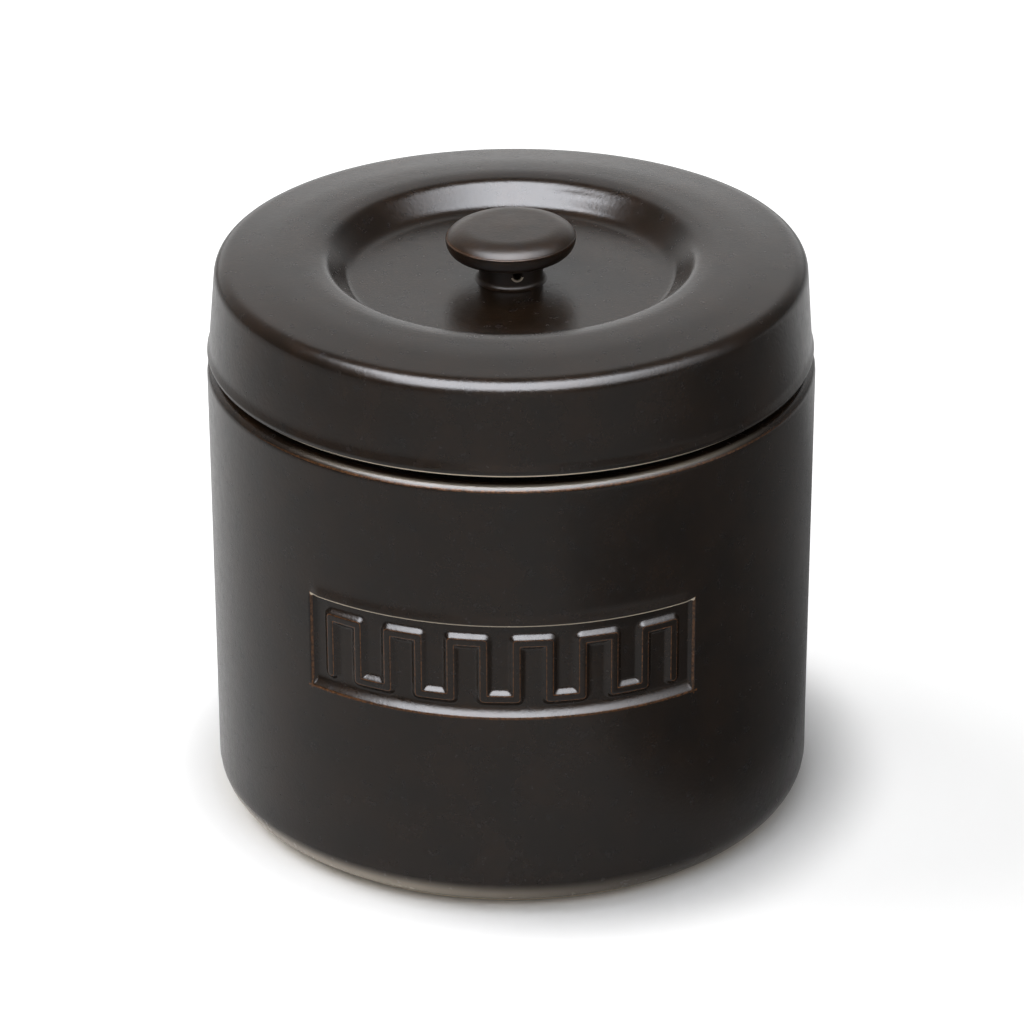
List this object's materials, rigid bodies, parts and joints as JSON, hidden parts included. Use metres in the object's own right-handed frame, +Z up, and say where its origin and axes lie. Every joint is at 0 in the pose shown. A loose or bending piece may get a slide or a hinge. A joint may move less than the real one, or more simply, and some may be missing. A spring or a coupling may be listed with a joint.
{
  "type": "bacon grease container",
  "caption": "Stoneware grease keeper: straight pot with a sunk label panel, cap lid with a knob in a sunk well, seal ring and lift-out mesh strainer.",
  "frame": {"origin": "centre of the foot ring's underside, at table height", "axes": "+Z up along the pot's axis, -Y towards the label panel"},
  "size_m": [0.12, 0.12, 0.1196],
  "materials": {
    "glaze": "satin black-brown stoneware glaze",
    "silicone": "matt black silicone",
    "steel": "satin stainless"
  },
  "bodies": {
    "pot": {"pot": "glaze"},
    "strainer": {"strainer_rim": "steel", "strainer_mesh": "steel", "clamp_hoop": "steel", "loop_clip_front": "steel", "loop_clip_back": "steel"},
    "lid": {"lid": "glaze", "knob": "glaze", "seal_ring": "silicone"},
    "loop_front": {"lift_loop_front": "steel"},
    "loop_back": {"lift_loop_back": "steel"}
  },
  "joints": [
    {"name": "strainer_lift", "type": "slide", "parent": "pot", "child": "strainer", "axis": [0, 0, 1], "range_m": [0, 0.1]},
    {"name": "lid_lift", "type": "slide", "parent": "strainer", "child": "lid", "axis": [0, 0, 1], "range_m": [0, 0.1]},
    {"name": "loop_front_swing", "type": "hinge", "parent": "strainer", "child": "loop_front", "pos_m": [0, -0.047, 0.082], "axis": [1, 0, 0], "range_deg": [0, 180]},
    {"name": "loop_back_swing", "type": "hinge", "parent": "strainer", "child": "loop_back", "pos_m": [0, 0.047, 0.082], "axis": [-1, 0, 0], "range_deg": [0, 180]}
  ]
}
